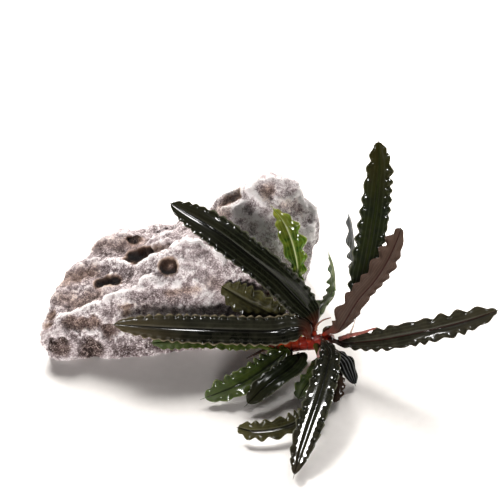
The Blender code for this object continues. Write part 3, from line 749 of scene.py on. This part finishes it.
@dataclass(frozen=True)
class Leaf:
    """A leaf with a round stalk and a long blade, grooved along its midrib and crisped along its margins."""

    node: str | None
    name: str
    finish: LeafFinish
    along: float
    around: float
    stalk: float
    width: float
    path: Line
    faces: tuple[float, float, float]
    tip_faces: tuple[float, float, float]
    # Waves along the left and the right margin, how far they rise and how far they stand out sideways.
    ripples: tuple[float, float]
    rise: float
    lobes: float
    fold: float
    seed: int
    groove: float = 0.45
    groove_width: float = 0.08
    thickness: float = 0.8
    stalk_radius: float = 0.75
    swell_by: float = 0.3
    taper_from: float = 0.58
    tip_power: float = 2.4
    tip_round: float = 0.6
    # How far out from the midrib the crisping starts.
    crisp: float = 0.6
    pillow: float = 0.3
    pucker: float = 0.08
    sway: float = 0.12
    hair: float = 2.0
    step: float = 0.3

    def outline(self, reach: np.ndarray) -> np.ndarray:
        """Gives the blade's half width along it, as a share of the widest."""
        swell = np.sin(math.pi / 2 * np.clip(reach / self.swell_by, 0, 1)) ** 0.8
        taper = 1 - np.clip((reach - self.taper_from) / (1 - self.taper_from), 0, 1) ** self.tip_power
        return swell * taper ** self.tip_round

    def waves(self, reach: np.ndarray, off: np.ndarray, count: float, seed: int) -> np.ndarray:
        """Gives the rise and fall of a crisped margin.

        Args:
            reach: How far along the blade each point is.
            off: How far out from the midrib, from 0 to 1.
            count: The waves along the whole margin.
            seed: Picks the unevenness.

        Returns:
            Numbers from -1 in the troughs to 1 on the crests, uneven in height and spacing.
        """
        phase = math.tau * (count * reach + 0.3 * wobble(count * reach * 0.8, seed)) + 1.5 * (1 - off) + seed
        dome = 2 * np.abs(np.cos(phase / 2)) - 1
        uneven = 0.75 + 0.45 * wobble(count * reach * 0.9, seed + 50)
        return (0.6 * np.cos(phase) + 0.4 * dome) * np.clip(uneven, 0.25, 1.3)

    def build(self, stem: Stem) -> bpy.types.Object:
        """Makes the leaf.

        Args:
            stem: The stem that it grows from.

        Returns:
            The leaf's piece.
        """
        middle, out = stem.at(self.along, self.around)
        base = middle + out * (stem.radius + 1.05)
        first = np.array(self.path[0], float)
        bend = base + out * 1.6 + unit(first - base) * 1.2
        inner = middle + out * stem.radius * 0.5
        line = curve_through((inner, base, bend, *self.path), 800)
        length = length_of(line)
        count = int(np.clip(length / self.step, 60, 330))
        share = np.linspace(0, 1, count)
        line = np.stack([np.interp(share, np.linspace(0, 1, 800), line[:, k]) for k in range(3)], axis=1)
        run = unit(np.gradient(line, axis=0))
        split = (self.stalk + float(np.linalg.norm(base - inner))) / length
        blade = np.clip((share - split) / (1 - split), 0, 1)
        face = np.array(self.faces) * (1 - share[:, None]) + np.array(self.tip_faces) * share[:, None]
        roll = self.sway * wobble(share * 7, self.seed + 9)[:, None]
        face = unit(face - run * (face * run).sum(axis=1, keepdims=True))
        side = np.cross(run, face)
        face, side = face * np.cos(roll) + side * np.sin(roll), side * np.cos(roll) - face * np.sin(roll)
        # The tip's fine hair carries the line on past the blade.
        extra = np.linspace(0, 1, 9)[1:]
        tail = line[-1] + run[-1] * extra[:, None] * self.hair
        line = np.vstack([line, tail])
        face = np.vstack([face, np.repeat(face[-1:], 8, axis=0)])
        side = np.vstack([side, np.repeat(side[-1:], 8, axis=0)])
        blade = np.concatenate([blade, np.ones(8)])
        lead = np.concatenate([share, np.ones(8)]) * length
        point = np.concatenate([np.zeros(count), extra])
        half = self.width / 2 * self.outline(blade)
        stalk = self.stalk_radius * (1 + 0.75 * np.exp(-(lead / 3.0) ** 2))
        fine = 0.14 * (1 - 0.85 * point)
        plain = np.where(blade > 0.5, np.maximum(half, fine), np.maximum(half, stalk))
        flat = smooth(blade, 0.0, 0.14) * smooth(half, 0.15, 0.8)
        turn = np.linspace(-1, 1, 35)
        upper = np.sin(math.pi / 2 * turn)
        lower = np.sin(math.pi / 2 * np.linspace(1, -1, 23))[1:]
        across = np.concatenate([upper, lower])
        top = np.concatenate([np.ones(35), -np.ones(22)])
        under = np.concatenate([[0.5], np.zeros(33), [0.5], np.ones(21), [0.5]])
        off = np.abs(across)[None, :]
        reach = blade[:, None]
        left = self.waves(reach, off, self.ripples[0], self.seed)
        right = self.waves(reach, off, self.ripples[1], self.seed + 100)
        wave = np.where(across[None, :] < 0, left, right)
        spread = (half / (self.width / 2))[:, None]
        by_edge = smooth(off, self.crisp, 1.0) ** 1.1
        alive = np.clip(spread * 1.3, 0, 1) * smooth(reach, 0.02, 0.1)
        crest = wave * by_edge * alive
        pucker = self.pucker * wobble(reach * length / 3.0 + across * 1.3, self.seed + 3) * wobble(
            off * 5 + reach * length / 6.0, self.seed + 4)
        pillow = self.pillow * np.sin(math.pi * np.clip(off * 1.15, 0, 1)) * spread
        channel = self.groove * np.exp(-(off / self.groove_width) ** 1.7) * np.clip(spread * 1.6, 0, 1)
        rise = self.fold * off ** 1.3 * spread + pillow + pucker * spread - channel + self.rise * crest
        thick = self.thickness * (0.32 + 0.68 * np.exp(-(off / 0.25) ** 2)) * (1 - 0.4 * reach)
        thick = thick * np.sqrt(np.clip(1 - off ** 8, 0, 1)) * np.clip(spread * 3, 0.3, 1)
        rib = 0.35 * np.exp(-(off / 0.11) ** 2) * (1 - 0.6 * reach) * spread
        blade_z = np.where(top[None, :] > 0, rise, rise - thick - rib - channel * 0.3)
        round_z = top[None, :] * plain[:, None] * np.sqrt(np.clip(1 - off ** 2, 0, 1))
        height = flat[:, None] * blade_z + (1 - flat[:, None]) * round_z
        reach_out = across[None, :] * plain[:, None] + np.sign(across)[None, :] * flat[:, None] * self.lobes * crest
        rows = line[:, None] + side[:, None] * reach_out[..., None] + face[:, None] * height[..., None]
        wide = np.ones_like(height)
        before = np.clip((lead - split * length) / max(self.stalk, 4.0), -1, 0)
        piece = loft(self.name, rows, {
            "across": across[None, :] * wide,
            "reach": (blade + before)[:, None] * wide,
            "under": under[None, :] * wide,
            "crest": crest * wide,
        })
        piece.data.materials.append(self.finish.material())
        put_in_frame(piece, self.finish.slot, self.node)
        return piece


LEAVES = (
    Leaf("leaf_over_stone", "long_leaf_over_stone", DARK, 0.8, 60, 1.5, 11.2,
         ((15.4, 4.2, 13), (14.2, 4.9, 16.4),
          (10.4, 6, 21), (3.2, 7, 29.4), (-5, 9, 36.2), (-18.9, 15.8, 44.2), (-34.0, 25.0, 48.6)),
         (0.3, -0.9, 0.4), (0, -0.7, 0.7), ripples=(20, 22), rise=0.6, lobes=0.4, crisp=0.66, fold=1.0, seed=11,
         swell_by=0.22, taper_from=0.6, tip_power=2.6, tip_round=0.6),
    Leaf("leaf_along_stone", "long_leaf_along_stone", DARK_TAN_TIP, 0.72, 112, 1, 10.0,
         ((12, 0.4, 12.9), (7.4, -0.6, 13.8), (0.4, -1.3, 13.0), (-16.9, -2.7, 14.6),
          (-35.9, -2.9, 15.7), (-53.6, -1.7, 16.2)),
         (0, -0.75, 0.65), (0, -0.8, 0.6), ripples=(20, 22), rise=0.6, lobes=0.45, crisp=0.66, fold=-0.5, seed=12,
         swell_by=0.16, taper_from=0.5, tip_power=2.6, tip_round=0.55),
    Leaf("leaf_below_stone_leaf", "leaf_under_the_long_one", OLIVE, 0.42, 175, 8, 6.6,
         ((-4, -2.2, 7.2), (-13.5, -1.4, 8.8), (-28, -2.0, 9.8), (-40.6, -3.4, 9.4)),
         (0, -0.65, 0.75), (0, -0.7, 0.7), ripples=(13, 15), rise=0.6, lobes=0.5, fold=0.3, crisp=0.4, seed=13,
         tip_power=4.0),
    Leaf("leaf_on_stone_face", "leaf_against_stone", OLIVE_DARK, 0.56, 55, 3, 10.4,
         ((4, 4.4, 13.5), (-6.5, 6.6, 19), (-16.3, 8.4, 25)),
         (0, -0.85, 0.5), (0.1, -0.8, 0.6), ripples=(8, 9), rise=0.9, lobes=1.0, fold=0.7, crisp=0.2, seed=14),
    Leaf("leaf_bright", "young_green_leaf", BRIGHT, 0.62, 20, 18, 8.2,
         ((11.4, 8.6, 17.1), (10.6, 9.4, 25.8), (9.8, 12, 33), (7.9, 16, 39.5), (5, 21, 44), (1.5, 26, 46.1)),
         (0.2, -0.8, 0.4), (0.1, -0.5, 0.8), ripples=(6, 7), rise=0.9, lobes=1.0, fold=1.0, crisp=0.25, seed=15,
         swell_by=0.7, taper_from=0.68, tip_power=1.2, tip_round=0.9),
    Leaf("leaf_edge_on_short", "twisted_short_leaf", GREY_GREEN, 0.79, 15, 6, 7.6,
         ((15.8, 5.5, 11.5), (16.7, 7.5, 13.5), (19.3, 11, 15.3), (22.2, 15, 16.6), (22.6, 19, 19.4),
          (22.3, 24, 22.3), (21.6, 28, 25.1)),
         (-0.45, -0.8, 0.5), (-1, 0.1, 0.1), ripples=(8, 8), rise=0.8, lobes=0.7, fold=0.5, crisp=0.3, seed=16, swell_by=0.2,
         taper_from=0.4, tip_power=1.4, tip_round=0.8),
    Leaf("leaf_edge_on_long", "twisted_pale_leaf", DARK_SHEENED, 0.97, 98, 14, 3.4,
         ((24.2, 2.2, 12.6), (27.5, 6.5, 15.2), (32, 15, 19.3), (30.4, 20, 26.1), (29.5, 27, 31.6), (28.6, 35, 37.2)),
         (-0.6, -0.6, 0.5), (-0.8, -0.4, 0.5), ripples=(7, 6), rise=0.7, lobes=0.6, fold=0.5, crisp=0.3, seed=17),
    Leaf("leaf_upright", "tall_leaf", DARK_OLIVE_TIP, 0.97, 98, 12, 10.2,
         ((24.2, 1.8, 12.3), (27, 3.6, 15.3), (30.5, 7, 20.2), (33.6, 13, 28.7), (36.7, 22, 43.7), (37.9, 28, 52.3), (38.6, 33, 59.4), (38.2, 38, 65.7)),
         (-0.3, -0.7, 0.6), (-0.1, -0.8, 0.6), ripples=(12, 18), rise=0.5, lobes=0.65, fold=0.6, crisp=0.45, seed=18,
         taper_from=0.45, tip_power=3.6, tip_round=0.5),
    Leaf("leaf_underside", "leaf_seen_from_below", BROWN_UNDER, 0.95, 118, 3, 7.8,
         ((24.8, 0, 14.6), (30.8, 0.6, 26.2), (35.9, 1.4, 33.2), (39.8, 2.6, 39.9), (42.7, 5, 46.4),
          (44.4, 7, 50.9)),
         (-0.1, 0.9, 0.1), (0.1, 0.9, 0), ripples=(11, 9), rise=0.9, lobes=0.8, fold=0.6, crisp=0.35, seed=19,
         swell_by=0.2, taper_from=0.5, tip_power=3.4, tip_round=0.45),
    Leaf("leaf_right", "long_leaf_to_the_right", BROWN_OLIVE, 1.0, 150, 1.5, 8.2,
         ((26.7, -2, 8.2), (37.9, -4, 11.1), (49, -6, 15.4), (58.7, -6.2, 18.3), (68.9, -5.2, 21), (78.2, -3.8, 23.9)),
         (0.1, -0.7, 0.7), (0, -0.7, 0.7), ripples=(10, 14), rise=0.6, lobes=0.7, fold=0.6, crisp=0.5, seed=20,
         swell_by=0.42, taper_from=0.6, tip_power=3.0, tip_round=0.55),
    Leaf("leaf_front", "long_leaf_to_the_front", DARK_WET, 0.92, 128, 2, 9.2,
         ((20.6, -13, 13.2), (19.54, -21.09, 12.47), (16.7, -31.9, 10.06), (13.34, -42.56, 7.39), (10.28, -52.19, 4.74), (8.9, -57, 3.3),
          (7.7, -62, 2.6)),
         (0.006, -0.1, 1), (-0.03, -0.3, 1), ripples=(13, 14), rise=0.8, lobes=0.4, fold=0.0, crisp=0.42, seed=21, groove_width=0.13,
         swell_by=0.42, taper_from=0.62, tip_power=2.2, tip_round=0.75, pillow=0.0, pucker=0.0, sway=0.0),
    Leaf("leaf_front_left", "broad_leaf_to_the_left", OLIVE, 0.36, 215, 3, 9.4,
         ((5.4, -4.4, 5.6), (1.5, -9, 5.4), (-6.5, -17.3, 5.2), (-11.3, -20.7, 4.8), (-15.7, -22.4, 3.8), (-21.8, -24.6, 2.6)),
         (-0.1, -0.4, 0.9), (-0.2, -0.5, 0.85), ripples=(9, 10), rise=0.5, lobes=0.55, fold=0.5, crisp=0.4, seed=22,
         tip_power=3.0, taper_from=0.5, tip_round=0.5),
    Leaf("leaf_front_low", "low_dark_leaf", DARK_LOW, 0.5, 200, 1, 8.4,
         ((10.5, -8, 6.8), (7.6, -14.3, 7.6), (2.4, -19.8, 7.4), (-2.8, -24.2, 5.8), (-7.2, -28.1, 3.2)),
         (0.1, -0.15, 1), (0, -0.3, 1), ripples=(8, 8), rise=0.3, lobes=0.35, fold=0.4, seed=23,
         tip_power=3.0, taper_from=0.5, tip_round=0.5, swell_by=0.42),
    Leaf("leaf_front_curled", "curled_low_leaf", OLIVE_DARK, 0.8, 172, 22, 6.2,
         ((18.6, -14.5, 5.5), (16.5, -25.4, 4.6), (12.2, -35.5, 4.5), (7.4, -39.7, 4.4), (3.1, -41.6, 4.3), (-1.9, -42.6, 4.1), (-6.5, -42.5, 4), (-10.5, -40.6, 3.6)),
         (0, -0.5, 0.9), (0, -0.7, 0.7), ripples=(8, 10), rise=0.35, lobes=0.8, fold=0.3, crisp=0.25, seed=24,
         tip_power=4.0, taper_from=0.6, tip_round=0.4, hair=0.6),
    Leaf("leaf_drooping", "drooping_leaf", DARK_LINED, 0.96, 195, 2, 7.0,
         ((26.4, -9.1, 6.4), (28, -12.4, 4.2), (29.6, -16.5, 1.8)),
         (0.5, -0.4, 0.8), (0.6, -0.6, 0.5), ripples=(4, 4), rise=0.2, lobes=0.2, fold=-0.5, seed=25, hair=1.0,
         groove=0.1, swell_by=0.3),
    Leaf("leaf_short_left", "short_leaf_left", OLIVE, 0.82, 205, 3, 6.8,
         ((16.5, -13, 4.2), (12.2, -20, 3.4), (10, -25, 2.6)),
         (-0.1, -0.2, 1), (-0.2, -0.3, 1), ripples=(5, 5), rise=0.4, lobes=0.4, fold=0.2, seed=26, hair=0.6,
         tip_power=3.4),
    Leaf("leaf_short_right", "short_leaf_right", BROWN, 0.85, 200, 4, 6.0,
         ((22.8, -15.5, 4.2), (22.2, -26.5, 2.4)),
         (0.15, -0.2, 1), (0.1, -0.3, 1), ripples=(7, 6), rise=0.45, lobes=0.4, fold=0.2, seed=27, hair=0.6,
         tip_power=3.4),
)


@dataclass(frozen=True)
class Root:
    """A thread of root. One that clings lies on the stone all along its path."""

    node: str | None
    name: str
    slot: str
    path: Line
    radius: float
    colour: str
    clings: bool = False

    def material(self) -> bpy.types.Material:
        """Builds the root's skin: matt and corky, a little streaked."""
        material = new_material("corky_root_" + self.name)
        tree = material.node_tree
        place = add_node(tree, "TexCoord").outputs["Object"]
        streak = add_node(tree, "TexNoise", {
            "Vector": place, "Scale": 1 / (0.9 * MM), "Detail": 3.0, "Roughness": 0.6})
        share = add_node(tree, "MapRange", {0: streak.outputs["Fac"], 1: 0.4, 2: 0.65, 3: 0.0, 4: 0.55})
        final = add_node(tree, "Mix", {0: share.outputs[0], 6: self.colour, 7: "#3A2A20"}, data_type="RGBA")
        bump = add_node(tree, "Bump", {"Height": streak.outputs["Fac"], "Strength": 0.5, "Distance": 0.0002})
        shader = add_node(tree, "BsdfPrincipled", {
            "Base Color": final.outputs[2], "Roughness": 0.55, "Normal": bump.outputs[0]})
        add_node(tree, "OutputMaterial", {0: shader.outputs[0]})
        return material

    def build(self, surface: BVHTree) -> bpy.types.Object:
        """Makes the root.

        Args:
            surface: The dressed stone, for a root that clings.

        Returns:
            The root's piece, which replaces its solid.
        """
        line = curve_through(self.path, 60)
        if self.clings:
            laid = []
            for point in line:
                spot, normal, _, _ = surface.find_nearest(Vector(point * MM))
                laid.append(np.array(spot) / MM + np.array(normal) * self.radius * 0.6)
            line = np.array(laid)
            for _ in range(3):
                line[1:-1] = (line[:-2] + line[1:-1] * 2 + line[2:]) / 4
        run = unit(np.gradient(line, axis=0))
        lean = np.array([0.3, 0.2, 1.0])
        up = unit(lean - run * (run @ lean)[:, None])
        side = np.cross(run, up)
        share = np.linspace(0, 1, 60)
        turn = np.linspace(0, math.tau, 13)
        radius = self.radius * (1.15 - 0.75 * share) * (1 + 0.15 * wobble(share * 30, len(self.name)))
        rows = line[:, None] + radius[:, None, None] * (
            np.cos(turn)[None, :, None] * up[:, None] + np.sin(turn)[None, :, None] * side[:, None])
        piece = loft(self.name, rows, {})
        piece.data.materials.append(self.material())
        put_in_frame(piece, self.slot, self.node)
        return piece


ROOTS = (
    Root("root_pale", "pale_root", "root_pale", ((10.3, -0.8, 2.9), (11.6, -4.6, 2.0), (11.3, -8.4, 0.7)), 0.42,
         "#D8D0C4"),
    Root("root_brown", "brown_root", "root_brown", ((-0.8, 0.6, 3.2), (-3.8, 0.2, 1.9), (-7.8, -1.6, 0.8)), 0.45,
         "#6B4A38"),
    Root("root_clinging_up", "clinging_root_up", "root_brown",
         ((-7, 8, 12), (-11, 9, 15), (-13, 9, 20), (-12, 10, 25)), 0.4, "#5B4436", True),
    Root("root_clinging_left", "clinging_root_left", "root_brown",
         ((-10, 7, 9), (-16, 6, 8), (-22, 6, 9), (-27, 6, 7)), 0.4, "#6B5140", True),
    Root("root_clinging_down", "clinging_root_down", "root_brown",
         ((-4, 8, 4), (-1, 9, 8), (2, 10, 12)), 0.35, "#6B5140", True),
    Root(None, "dry_sheath_left", "root_brown", ((16.5, 0.5, 11.5), (16.9, 1.5, 13.4), (19, 2.5, 14.8), (21.8, 3, 15.5)), 0.42, "#8A5A46"),
    Root(None, "dry_sheath_right", "root_pale", ((28.3, -2, 12.2), (29.2, -1.5, 14.9), (30, -1, 18.1)), 0.3, "#C9B5A6"),
    Root(None, "pink_sheath_of_the_right_leaf", "stem", ((24.5, -1.5, 9.5), (27.9, -2.5, 11.9), (32.3, -3.2, 13.8), (37, -3.6, 16.2)), 0.75,
         "#9C5A50"),
    Root(None, "pink_sheath_of_the_long_leaf", "stem", ((16.9, -10.1, 8.6), (17.7, -6.8, 9.4), (19.5, -2.2, 9.2)), 0.45,
         "#C09088"),
)


class Shows(Enum):
    """Whether a lamp lights matt surfaces, or is a card that only shows in the gloss."""

    LIGHT = "light"
    GLOSS = "gloss"


@dataclass(frozen=True)
class Studio:
    """A white table, a lamp behind and above on the left, its soft card for the gloss, and the camera."""

    target: tuple[float, float, float] = (-6.5, 33.0, 25.0)
    elevation: float = 36.0
    distance: float = 0.6
    lens: float = 120.0
    floor_size: float = 12.0

    def lamp(self, name: str, place: tuple[float, float, float], size: float, watts: float,
             colour: str, shows: Shows) -> None:
        """Adds a square soft lamp aimed at the plant.

        Args:
            name: The lamp's name.
            place: Where it stands, in metres.
            size: Its side in metres.
            watts: Its power.
            colour: Its colour.
            shows: What it lights.
        """
        data = bpy.data.lights.new(name, "AREA")
        data.shape = "SQUARE"
        data.size = size
        data.energy = watts
        data.color = linear(colour)[:3]
        lamp = bpy.data.objects.new(name, data)
        lamp.location = place
        aim = Vector((0, 0.01, 0.02)) - Vector(place)
        lamp.rotation_euler = aim.to_track_quat("-Z", "Y").to_euler()
        lamp.visible_diffuse = shows is Shows.LIGHT
        lamp.visible_glossy = shows is Shows.GLOSS
        bpy.context.scene.collection.objects.link(lamp)

    def build(self) -> None:
        """Sets the table, the lamps, the world and the camera."""
        scene = bpy.context.scene
        bpy.ops.object.select_all(action="DESELECT")
        bpy.ops.mesh.primitive_plane_add(size=self.floor_size)
        floor = bpy.context.object
        floor.name = "white_table"
        material = new_material("white_paper")
        tree = material.node_tree
        place = add_node(tree, "TexCoord").outputs["Object"]
        fibre = add_node(tree, "TexNoise", {"Vector": place, "Scale": 300.0, "Detail": 2.0})
        tone = add_node(tree, "ValToRGB", {0: fibre.outputs["Fac"]}, stops=((0.3, "#F1F0EF"), (0.7, "#F5F4F3")))
        shader = add_node(tree, "BsdfPrincipled", {
            "Base Color": tone.outputs[0], "Roughness": 0.9, "Specular IOR Level": 0.0})
        add_node(tree, "OutputMaterial", {0: shader.outputs[0]})
        floor.data.materials.append(material)
        self.lamp("key_left", (-0.42, 0.98, 0.72), 0.4, 34.0, "#FFFBF6", Shows.LIGHT)
        self.lamp("key_right", (0.42, 0.98, 0.66), 0.4, 25.0, "#FFFBF6", Shows.LIGHT)
        self.lamp("low_fill", (-0.3, -1.1, 0.2), 0.3, 14.0, "#FFF8F5", Shows.LIGHT)
        self.lamp("gloss_card", (-0.011, 0.25, 0.96), 0.15, 8.0, "#FFFFFF", Shows.GLOSS)
        self.lamp("front_glint", (-0.25, -0.5, 0.85), 0.08, 3.2, "#FFFFFF", Shows.GLOSS)
        world = bpy.data.worlds.new("soft_room")
        world.use_nodes = True
        world.node_tree.nodes["Background"].inputs["Color"].default_value = linear("#FFEEE4")
        world.node_tree.nodes["Background"].inputs["Strength"].default_value = 0.03
        scene.world = world
        scene.view_settings.view_transform = "Standard"
        data = bpy.data.cameras.new("camera")
        data.lens = self.lens
        data.sensor_width = 36.0
        data.clip_start = 0.02
        camera = bpy.data.objects.new("camera", data)
        angle = math.radians(self.elevation)
        target = Vector(self.target) * MM
        back = Vector((0, -math.cos(angle), math.sin(angle)))
        camera.location = target + back * self.distance
        camera.rotation_euler = (-back).to_track_quat("-Z", "Y").to_euler()
        scene.collection.objects.link(camera)
        scene.camera = camera


def main() -> None:
    """Builds the stone, the plant and the studio."""
    logging.basicConfig(level=logging.INFO, format="%(message)s")
    stone = Stone().build()
    bpy.context.view_layer.update()
    surface = BVHTree.FromObject(stone, bpy.context.evaluated_depsgraph_get())
    stem = Stem()
    stem.build()
    for leaf in LEAVES:
        leaf.build(stem)
    for root in ROOTS:
        root.build(surface)
    Studio().build()


if __name__ == "__main__":
    main()
